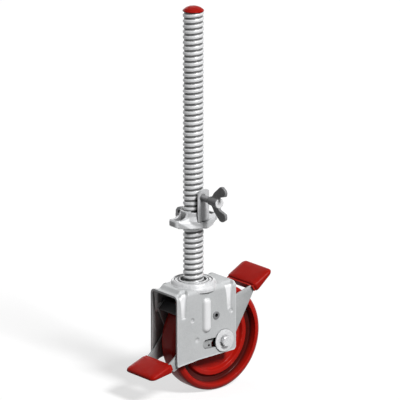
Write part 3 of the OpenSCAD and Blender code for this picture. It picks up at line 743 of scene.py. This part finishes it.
# %% The end cap
cap_section = [(0.01, 9.0, 0), (8.5, 8.1, 8), (14.5, 5.6, 8), (19.3, 1.6, 2.2), (19.5, 0.0, 0.6),
               (13.4, 0.0, 0.4), (13.4, -22.0, 0.8), (10.4, -22.0, 0.8), (10.4, -2.0, 1), (0.01, -2.0, 0)]
cap = turned("end_cap", filleted(cap_section, 0.5, 6), "Z", (0, 0, SPINDLE_TOP), 64)
place(cap, "spindle", "spindle_cap", red_plastic, 40)

# %% [markdown]
# The swivel head is a ball race of pressed steel. The outer cup belongs to the fork and laps over
# its crown, and the inner ring carries the spindle, welded in its middle. The cup's rolled rings
# and the weld bead are drawn in the sections.

# %% The swivel head
cup_section = [(35.9, -147.5, 0.6), (43.8, -147.5, 0.8), (44.0, -142.4, 2.6), (42.6, -138.4, 1.6),
               (41.4, -137.6, 0.5), (41.0, -136.4, 0.6), (39.8, -133.4, 2.4), (37.8, -131.0, 1.8),
               (35.2, -131.8, 0.8), (35.3, -133.0, 0.4), (37.6, -134.4, 0.6), (37.6, -137.0, 0.6),
               (35.9, -138.4, 0.4)]
cup = turned("swivel_cup_rings", filleted(cup_section, 0.6, 4), "Z", (0, 0, 0), 128)


def crown_block():
    """The folded fork as one full block: what the cup's skirt is cut away for."""
    half, r = FORK_HALF, BEND_R
    section = [(-half, -190), (-half, CROWN_TOP - r)]
    section += [(-half + r - r * math.cos(a), CROWN_TOP - r + r * math.sin(a))
                for a in np.linspace(0, math.pi / 2, 13)]
    section += [(-y, z) for y, z in reversed(section[2:])] + [(half, -190)]
    return prism_from("crown_block", *([(x, y, z) for y, z in section] for x in (-60, 75)))


carved(cup, crown_block())
place(cup, "fork", "swivel_cup", head_zinc, 38)

flange_section = [(0.5, -138.5, 0), (34.0, -138.5, 0.5), (34.0, -137.4, 0.3), (32.6, -136.6, 0.3),
                  (32.6, -134.4, 0.3), (34.1, -133.2, 0.4), (33.6, -132.2, 1.2), (29.4, -132.0, 1.2),
                  (28.8, -134.0, 0.7), (27.6, -134.0, 0.7), (26.6, -131.0, 1.2), (24.2, -131.0, 1.0),
                  (22.9, -135.9, 0.6), (21.6, -136.2, 0.8), (20.4, -134.4, 0.8), (19.3, -134.2, 0.2),
                  (19.3, -136.0, 0), (0.5, -136.0, 0)]
flange = turned("spindle_flange", filleted(flange_section, 0.5, 4), "Z", (0, 0, 0), 128)
place(flange, "flange", "swivel_flange", head_zinc, 38)

# %% [markdown]
# Balls and rollers repeat round a ring. A small tree sets copies of one ball or one roller on the
# points of a circle, and turns them all into real mesh. They hide in the race and the hub, and show
# only where someone looks into the gaps.

# %% The ring tree, the race balls and the bearing rollers


def ring_tree():
    make, given, out = node_group("ring_of_parts", "Geometry", {
        "Part": "Geometry", "Count": 32, "Ring radius": 0.035, "Finish": "Material"}, ("Geometry",), "Geometry")
    circle =make.add("GeometryNodeMeshCircle", {"Vertices": given["Count"], "Radius": given["Ring radius"]})
    spots = make.add("GeometryNodeInstanceOnPoints", {"Points": circle.outputs[0], "Instance": given["Part"]})
    real = make.add("GeometryNodeRealizeInstances", {"Geometry": spots.outputs[0]})
    coated = make.add("GeometryNodeSetMaterial", {"Geometry": real.outputs[0], "Material": given["Finish"]})
    make.fill(out["Geometry"], coated.outputs[0])
    return make.tree


RING = ring_tree()
ball_mesh = bpy.data.meshes.new("race_balls")
work = bmesh.new()
bmesh.ops.create_icosphere(work, subdivisions=2, radius=2.5 * MM)
work.to_mesh(ball_mesh)
work.free()
balls = object_from("race_balls", ball_mesh)
worked(balls, RING, {"Count": 32, "Ring radius": 35.0 * MM, "Finish": bright_steel})
shifted(balls, (0, 0, HEAD_TOP - 4.7))
place(balls, "fork", "swivel_balls", bright_steel, 60)

roller_section = [(0.01, -22.0, 0), (2.5, -22.0, 0.5), (2.5, 22.0, 0.5), (0.01, 22.0, 0)]
roller = turned("bearing_rollers_set", filleted(roller_section, 0.4, 2), "Z", (0, 0, 0), 16)
worked(roller, RING, {"Count": 14, "Ring radius": 12.8 * MM, "Finish": bright_steel})
shifted(roller, AXLE_AT, 90)
place(roller, "wheel", "bearing_rollers", bright_steel, 40)

# %% [markdown]
# The fork is one pressed sheet, 4 mm thick. It is modelled as the press makes it: a flat grid is
# folded over a channel, pushed in or out where ribs, gussets and dimples are, and then given its
# thickness. The grid's own rows follow the fold, so the bends are round and the pressed shapes run
# over them without a seam. The slot and the rivet holes are punched last.

# %% The fork's pressed shapes


def smooth_step(t):
    t = np.clip(t, 0.0, 1.0)
    return t * t * (3 - 2 * t)


def skirt_z(x):
    """Lower edge of the side plates, with its corners rounded."""
    left, kink, right_end = -68.0, -16.0, 68.0
    z = np.where(x < kink, -279 + 6 * (x - left) / (kink - left), -273 + 4 * (x - kink) / (right_end - kink))
    for corner, r in ((left, 4.0), (right_end, 5.0)):
        near = np.clip(r - np.abs(x - corner), 0, r)
        z = z + (r - np.sqrt(np.maximum(r * r - near * near, 0)))
    return z


def crown_z(x):
    """Top of the fork: it steps down by 6 mm at the end over the low pedal."""
    return CROWN_TOP - 6.0 * (1 - smooth_step((x + 58.5) / 8.0))


def side_relief(x, z):
    """How far a side plate is pressed out, in millimetres, at a place on it."""
    # Upright rib in the middle
    along = np.clip(z, -214.5, -168)
    reach = np.clip(np.hypot(x, z - along) / 10.2, 0, 1)
    rib = 4.8 * (1 - reach ** 2.6)
    # Gussets: a flute that deepens upwards and runs over the bend
    flutes = 0
    for middle in (-53.0, 53.0):
        height = np.clip((z + 188) / 49.0, 0, 1)
        width = 4.6 + 2.4 * height + 4.6 * height ** 5
        depth = 2.6 + 3.2 * height
        shape = smooth_step((width + 1.6 - np.abs(x - middle)) / 4.0)
        shape = shape * smooth_step((z + 191) / 4.0)
        flutes = flutes - depth * shape
    # Round dimples
    marks = 0
    for dx, dz in ((-33, 51), (-22, 12), (57, 54)):
        marks = marks - 1.9 * smooth_step((4.9 - np.hypot(x - dx, z - (AXLE_Z + dz))) / 2.0)
    return rib + flutes + marks


print("the rib stands out by", round(float(side_relief(0.0, -190.0)), 2), "mm in its middle")

# %% The folded sheet


def folded_sheet():
    fine, coarse = 1.05, 2.2
    xs = np.concatenate([np.arange(-68, -15, fine), np.arange(-15, 15, fine), np.arange(15, 40, coarse),
                         np.arange(40, 67.5, fine), [68.0]])
    bend_rows, crown_rows = 11, 30
    # Above the slot the rows lie level, and below it they follow the plate's lower edge
    level_from, low_share = -231.0, np.linspace(0, 1, 22)[:-1]
    half, r = FORK_HALF, BEND_R
    columns = []
    for x in xs:
        top = float(crown_z(np.array(x)))
        low = float(skirt_z(np.array(x)))
        # Each point of the path has its place in y and z, the way the press pushes it, and its height
        path = []
        lower = low + (level_from - low) * low_share
        for z in np.concatenate([lower, np.linspace(level_from, top - r, 76)]):
            path.append((-half, z, -1.0, 0.0, z))
        for a in np.linspace(0, math.pi / 2, bend_rows + 2)[1:-1]:
            c, s = math.cos(a), math.sin(a)
            path.append((-half + r - r * c, top - r + r * s, -c, s, top - r + r * s))
        for y in np.linspace(-half + r, 0, crown_rows)[:-1]:
            path.append((y, top, 0.0, 1.0, top + (y + half - r) * 1.4))
        path.append((0.0, top, 0.0, 1.0, None))
        column = []
        for y, z, ny, nz, height in path:
            lift = 0.0
            if height is not None:
                over = max(0.0, height - (top - 2.0))
                fade = float(smooth_step(np.array(1 - over / 8.0)))
                lift = float(side_relief(np.array(x), np.array(min(height, top)))) * fade
            column.append((x, y + ny * lift, z + nz * lift))
        columns.append(column + [(px, -py, pz) for px, py, pz in reversed(column[:-1])])
    rows = len(columns[0])
    points = [p for column in columns for p in column]
    faces = [(i * rows + j, i * rows + j + 1, (i + 1) * rows + j + 1, (i + 1) * rows + j)
             for i in range(len(columns) - 1) for j in range(rows - 1)]
    mesh = bpy.data.meshes.new("pressed_fork")
    mesh.from_pydata([(x * MM, y * MM, z * MM) for x, y, z in points], [], faces)
    sheet = object_from("pressed_fork", mesh)
    middle_face = mesh.polygons[(len(columns) // 2) * (rows - 1) + rows // 2]
    if middle_face.normal.z < 0:
        mesh.flip_normals()
    return sheet


fork = folded_sheet()
thick = fork.modifiers.new("thickness", "SOLIDIFY")
thick.thickness = PLATE_T * MM
thick.offset = -1
thick.use_even_offset = True
settled(fork)
trim = fork.modifiers.new("edges", "BEVEL")
trim.width = 0.7 * MM
trim.segments = 2
trim.limit_method = "ANGLE"
trim.angle_limit = math.radians(60)
settled(fork)
print("pressed sheet:", len(fork.data.polygons), "faces")

# %% Punching the slot and the rivet holes


def punch(name, outline, y0=-50.0, y1=50.0):
    """A bar along Y with the given outline in X and Z, as a punch through both side plates."""
    return prism_from(name, *([(x, y, z) for x, z in outline] for y in (y0, y1)))


def arc(cx, cz, r, start, end, steps):
    """Points along a piece of a circle, from one angle to another."""
    return [(cx + r * math.cos(a), cz + r * math.sin(a)) for a in np.linspace(start, end, steps)]


SLOT_R, RIVET_R = 9.2, 6.05
slot_outline = arc(AXLE_X, AXLE_Z, SLOT_R, -math.pi / 2, math.pi / 2, 17)
slot_outline += arc(0, AXLE_Z, SLOT_R, math.pi / 2, 1.5 * math.pi, 17)
carved(fork, punch("slot_punch", slot_outline))
carved(fork, punch("rivet_punch", arc(PIVOT_X, PIVOT_Z, RIVET_R, 0, 2 * math.pi, 33)[:-1]))


def pressed_highlight(x, y, z):
    """Painted highlight: 1 in ribs, flutes and dimples, 0 on flat plate; the fork's finish lightens the zinc
    there.
    """
    outside = (np.abs(y) > FORK_HALF - 7.5) & (z < CROWN_TOP - 1)
    return np.clip(np.abs(side_relief(x, z)) / 3.0 - 0.35, 0, 1) * outside


# The pressed mark is a painted highlight on the ribs, flutes and dimples.
mark_places(fork, pressed_highlight)
place(fork, "fork", "fork", fork_zinc, 40)

# %% [markdown]
# The lever turns on two hollow rivets, one in each side plate. Each is closed over with a rounded
# collar, so the section is a small mushroom with a bore.

# %% The rivets


def both_sides(name, section, around=40, at=(0, 0)):
    """A turned part on the near side and its mirror image on the far side, as one mesh."""
    near = turned(name, section, "Y", (at[0], 0, at[1]), around)
    far = turned(name + "_far", [(r, -y) for r, y in section], "Y", (at[0], 0, at[1]), around)
    return joined(near, far)


rivet_section = [(3.5, -40.9, 0.8), (7.2, -40.9, 0.9), (7.5, -39.5, 0.2), (6.0, -39.5, 0), (6.0, -31.0, 0),
                 (6.0, -29.1, 0), (8.0, -29.1, 0.2), (8.0, -27.8, 0.6), (3.5, -27.8, 0.5)]
rivets = both_sides("lever_rivet_pair", filleted(rivet_section, 0.3, 3), 40, (PIVOT_X, PIVOT_Z))
place(rivets, "fork", "lever_rivets", rivet_steel, 38)

# %% [markdown]
# The lever is two flat plates with a curved shoe between them. Flame-cut or blanked plate has flat
# faces and slightly rounded edges, so a fine bevel on the CAD shape is enough.

# %% The brake lever
for which in ("near", "far"):
    plate = bevelled(cad_copy(f"lever_plate_{which}_side", f"lever_plate_{which}"), 0.5, 2, 40)
    place(plate, "lever", f"lever_plate_{which}", lever_painted_shade_zinc, 40)
# The shoe's near black finish is painted shade.
shoe = bevelled(cad_copy("curved_brake_shoe", "brake_shoe"), 0.6, 2, 40)
place(shoe, "lever", "brake_shoe", shoe_steel, 40)
for which in ("upper", "lower"):
    bar = bevelled(cad_copy(f"{which}_cross_bar", f"{which}_pedal_bar"), 0.5, 2, 40)
    place(bar, "lever", f"{which}_pedal_bar", lever_painted_shade_zinc, 40)

# %% [markdown]
# The pedal caps are thick, soft-edged mouldings that taper to the toe. Each is a stack of rounded
# rectangles: small ones at the top and underneath, the full outline between them, so every edge is
# a generous round and the top is slightly crowned. The pocket for the lever's ends is cut out last.

# %% The pedal caps
PEDAL_L, PEDAL_HALF, PEDAL_T, CAP_WALL = 48.0, 41.0, 18.0, 3.5


def pedal_outline(inset, corner_steps=8):
    """Rounded rectangle, drawn in by an inset: wide corners at the toe, small ones at the mouth."""
    x0, x1, half = inset * 0.4, PEDAL_L - inset, PEDAL_HALF - inset
    toe, mouth = max(9.5 - inset * 0.7, 3.0), max(6.0 - inset * 0.7, 1.5)
    outline = []
    for cx, cy, r, start in ((x1 - toe, half - toe, toe, 0), (x0 + mouth, half - mouth, mouth, 90),
                             (x0 + mouth, -half + mouth, mouth, 180), (x1 - toe, -half + toe, toe, 270)):
        for a in np.radians(start + np.linspace(0, 90, corner_steps)):
            outline.append((cx + r * math.cos(a), cy + r * math.sin(a)))
    return outline


def pedal_moulding(name, edge, slope, flip):
    """A pedal cap in its place: edge is its mouth seen from the lever's pivot, slope is in degrees."""
    # Each ring is an inset and a height: over the crowned top and down the side, then under the floor
    rings = [(30.0, -0.0), (16.0, -0.25), (9.0, -0.8)]
    rings += [(6.0 - 6.0 * math.sin(a), -1.3 - 5.2 * (1 - math.cos(a)))
              for a in np.radians(np.linspace(15, 90, 6))]
    upper, points, faces = len(rings), [], []
    rings += [(3.6 * (1 - math.cos(a)), 3.2 * (1 - math.sin(a))) for a in np.radians(np.linspace(0, 90, 5))]
    rings += [(30.0, 0.0)]
    for k, (inset, drop) in enumerate(rings):
        for x, y in pedal_outline(inset):
            floor = -PEDAL_T + PEDAL_T / 2 * x / PEDAL_L
            points.append((x, y, drop if k < upper else floor + drop))
    count = len(points) // len(rings)
    for k in range(len(rings) - 1):
        for j in range(count):
            m = (j + 1) % count
            faces.append((k * count + j, k * count + m, (k + 1) * count + m, (k + 1) * count + j))
    faces += [tuple(range(count)), tuple(range((len(rings) - 1) * count, len(rings) * count))]
    cap = solid_from(name, points, faces)

    def pocket_floor(x):
        return CAP_WALL - PEDAL_T + PEDAL_T / 2 * x / (PEDAL_L - CAP_WALL)

    deep, wide = PEDAL_L - CAP_WALL - 1.5, PEDAL_HALF - CAP_WALL
    pocket = [(-3, -CAP_WALL), (deep, -CAP_WALL), (deep, pocket_floor(deep)), (-3, pocket_floor(-3))]
    carved(cap, punch(name + "_pocket", pocket, -wide, wide))
    mirror = Matrix.Diagonal((-1 if flip else 1, 1, 1, 1))
    tilt = Matrix.Rotation(math.radians(-slope), 4, "Y")
    shift = Matrix.Translation(((PIVOT_X + edge[0]) * MM, 0, (PIVOT_Z + edge[1]) * MM))
    cap.data.transform(shift @ tilt @ mirror)
    tidy_mesh(cap.data, 0.002 * MM)
    return cap


for which, edge, slope, flip in (("upper", (86.5, 43), 29.7, False), ("lower", (-106.5, -73), 21.3, True)):
    pedal = pedal_moulding(f"{which}_pedal_moulding", edge, slope, flip)
    place(pedal, "lever", f"{which}_pedal_cap", red_plastic, 50)

# %% [markdown]
# The axle is a hexagon bolt with a large washer under its head and its nut. A real hexagon head has
# its corners turned off, which a boolean between the prism and a turned lens gives.

# %% The axle bolt, its washers and its nut
WASHER_FACE = 42.3


def hexagon(name, y0, y1, flat=9.0):
    """Hexagon head between two planes across the axle, with its corners turned off at both ends."""
    corner = flat / math.cos(math.radians(30))
    outline = [(AXLE_X + corner * math.cos(math.radians(60 * k)),
                AXLE_Z + corner * math.sin(math.radians(60 * k))) for k in range(6)]
    prism = punch(name, outline, y0, y1)
    lens_section = [(0.01, y0, 0), (flat * 0.96, y0, 0), (corner + 0.4, y0 + 1.9, 0.6),
                    (corner + 0.4, y1 - 1.9, 0.6), (flat * 0.96, y1, 0), (0.01, y1, 0)]
    lens = turned("lens", filleted(lens_section, 0.3, 4), "Y", AXLE_AT, 72)
    return carved(prism, lens, "INTERSECT")


bolt = hexagon("axle_bolt_and_head", -WASHER_FACE - 8.0, -WASHER_FACE)
shank_section = [(0.01, -43.0, 0), (6.0, -43.0, 0), (6.0, 43.0, 0), (0.01, 43.0, 0)]
shank = turned("shank", filleted(shank_section, 0.0), "Y", AXLE_AT, 40)
tail = threaded_bar("tail", 6.0, 0.7, 1.75, 11.3, 0.02, bright_steel, 32, 8)
shifted(tail, (AXLE_X, 42.0, AXLE_Z), -90)
joined(bolt, shank, tail)
place(bolt, "axle", "axle_bolt", bright_steel, 30)
nut = hexagon("axle_hexagon_nut", WASHER_FACE, WASHER_FACE + 9.0)
carved(nut, turned("nut_bore", [(0.01, 40.0), (6.05, 40.0), (6.05, 60.0), (0.01, 60.0)], "Y", AXLE_AT, 40))
place(nut, "axle", "axle_nut", bright_steel, 30)
washer_section = [(6.05, -WASHER_FACE, 0.2), (21.0, -WASHER_FACE, 0.7), (21.0, -39.8, 0.3), (6.05, -39.8, 0.2)]
washers = both_sides("axle_washer_pair", filleted(washer_section, 0.3, 3), 72, (AXLE_X, AXLE_Z))
place(washers, "axle", "axle_washers", head_zinc, 35)

# %% [markdown]
# The wheel is turned from one section with rounded corners: a broad tread, a raised rim, a deep
# groove, a ridge and a dished web. The lines of light along the rim and the ridge come from those
# small roundings, so they are worth more than any colour work.

# %% The wheel
half_section = [(15.4, 27.0, 0.5), (29.0, 27.0, 1.6), (29.6, 13.0, 3.0), (33.5, 9.0, 3.0), (60.5, 7.2, 3.0),
                (63.8, 13.4, 1.6), (65.2, 14.0, 1.0), (71.6, 14.0, 1.6), (75.4, 8.8, 2.6), (83.6, 8.8, 3.0),
                (86.6, 19.0, 3.0), (87.2, 23.0, 1.0), (92.4, 23.0, 5.0), (98.6, 19.4, 6.0), (100.0, 12.5, 8.0)]
wheel_section = filleted(half_section + [(r, -y, f) for r, y, f in reversed(half_section)], 1.0, 5)
wheel = turned("turned_wheel", wheel_section, "Y", AXLE_AT, 160)


def groove_shade(x, y, z):
    """Painted shade in the deep groove inside the rim: 1 on its floor, 0 on the rim and the ridge."""
    r = np.hypot(x - AXLE_X, z - AXLE_Z)
    between = np.clip((r - 73.4) / 2.0, 0, 1) * np.clip((87.0 - r) / 1.6, 0, 1)
    return between * np.clip((21.0 - np.abs(y)) / 6.0, 0, 1)


# Painted shade in the wheel's groove, kept as the groove mark.
mark_places(wheel, groove_shade, "groove")
place(wheel, "wheel", "wheel", wheel_plastic, 50)
seal_section = filleted([(10.4, -27.0, 0.3), (15.3, -27.0, 0.3), (15.3, -25.0, 0.2), (10.4, -25.0, 0.2)], 0.3, 2)
seals = both_sides("hub_seal_pair", seal_section, 48, (AXLE_X, AXLE_Z))
place(seals, "wheel", "hub_seals", dark_plastic, 40)

# %% [markdown]
# The nut, the clamp shell and the wing handle are castings or forgings, so voxels and smoothing
# round their webs and lugs into each other.

# %% The webs and the hollows of the nut's lugs


def wrapped(points):
    """The smallest block that holds some points, for a web or a hollow."""
    work = bmesh.new()
    for x, y, z in points:
        work.verts.new((x * MM, y * MM, z * MM))
    bmesh.ops.convex_hull(work, input=work.verts)
    mesh = bpy.data.meshes.new("web")
    work.to_mesh(mesh)
    work.free()
    return object_from("web", mesh)


def nut_webs():
    """A slanting web from each long lug to the nut's front and back, as one block each."""
    webs = []
    for side_x, side_y in ((-1, -1), (-1, 1), (1, -1), (1, 1)):
        corners = [(45, 10.4, -14.5), (43, 10.4, -27.5), (22, 14, -9), (3, 30, -19.5), (4, 31.5, -29),
                   (24, 25, -28.5), (24, 12, -28), (22, 10, -12), (21.5, 4, -20), (4, 22, -22), (4, 22, -29),
                   (40, 2, -16), (40, 2, -27)]
        webs.append(wrapped([(side_x * x, side_y * y, z) for x, y, z in corners]))
    return webs


def lug_pockets():
    """The hollow on top of each long lug, between its two webs."""
    corners = ((42.5, 6.8, -18), (24, 6.8, -19.5), (44.5, 8.2, -5), (23, 8.2, 2))
    return [wrapped([(side * x, y, z) for x, half, z in corners for y in (-half, half)]) for side in (-1, 1)]


webs, pockets = nut_webs(), lug_pockets()
print(len(webs), "webs and", len(pockets), "hollows for the nut")

# %% The spindle nut, the clamp shell and the wing screw
nut_casting = cast_soft("nut_casting", "spindle_nut", 0.65, 10, 0.6, webs, pockets)
place(nut_casting, "saddle", "spindle_nut", cast_zinc, 60)
shell = cast_soft("clamp_shell_plate", "clamp_shell", 0.7, 4, 0.5)
arch = [(7 + 17.5 * math.cos(a), 29 + 13.6 * math.sin(a)) for a in np.linspace(0, math.pi, 25)]
carved(shell, punch("arch_punch", [(24.5, -40), *arch, (-10.5, -40)], -60.0, 0.0), "INTERSECT")
place(shell, "saddle", "clamp_shell", cast_zinc, 60)


def full_wings():
    """The two wings a little fuller than flat plates, as forged ones are."""
    tip, half = 33.0, 2.9
    outline = [(-52, 2), (-60, 1), (-72, 5.5), (-79, tip * 0.36), (-95, tip * 0.5), (-96.2, tip * 0.66),
               (-94.6, tip * 0.84), (-87, tip * 0.99), (-80, tip * 0.97), (-63, tip * 0.54)]
    return [prism_from("wing", *([(x, y, SCREW_Z + side * z) for y, z in outline] for x in (-half, half)))
            for side in (-1, 1)]


handle = cast_soft("wing_handle_forging", "wing_handle", 0.6, 7, 0.6, full_wings())
# Painted highlight on the disc round the screw at the handle's outer end.
mark_places(handle, lambda x, y, z: (y < -75.0) * (np.hypot(x, z - SCREW_Z) < 8.6))
place(handle, "wing", "wing_handle", wing_painted_shade_zinc, 60)
stud = threaded_bar("wing_screw_stud", 6.0, 0.85, 1.75, 47.0, 0.02, wing_painted_shade_zinc, 32, 8)
shifted(stud, (0, -25.0, SCREW_Z), 90)
place(stud, "stud", "clamp_stud", rivet_steel, 40)

# %% [markdown]
# What is left of the CAD nodes hides in the hub: the sleeve, the bushes and the roller cage. Their
# shapes are right as they are, and they only get a finish.

# %% The nodes that keep their CAD shape
for node, finish in (("axle_sleeve", bright_steel), ("axle_bushes", bright_steel), ("roller_cage", dark_plastic)):
    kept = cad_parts[node]
    kept.data.materials.clear()
    kept.data.materials.append(finish)
    print(node, "keeps its CAD mesh")
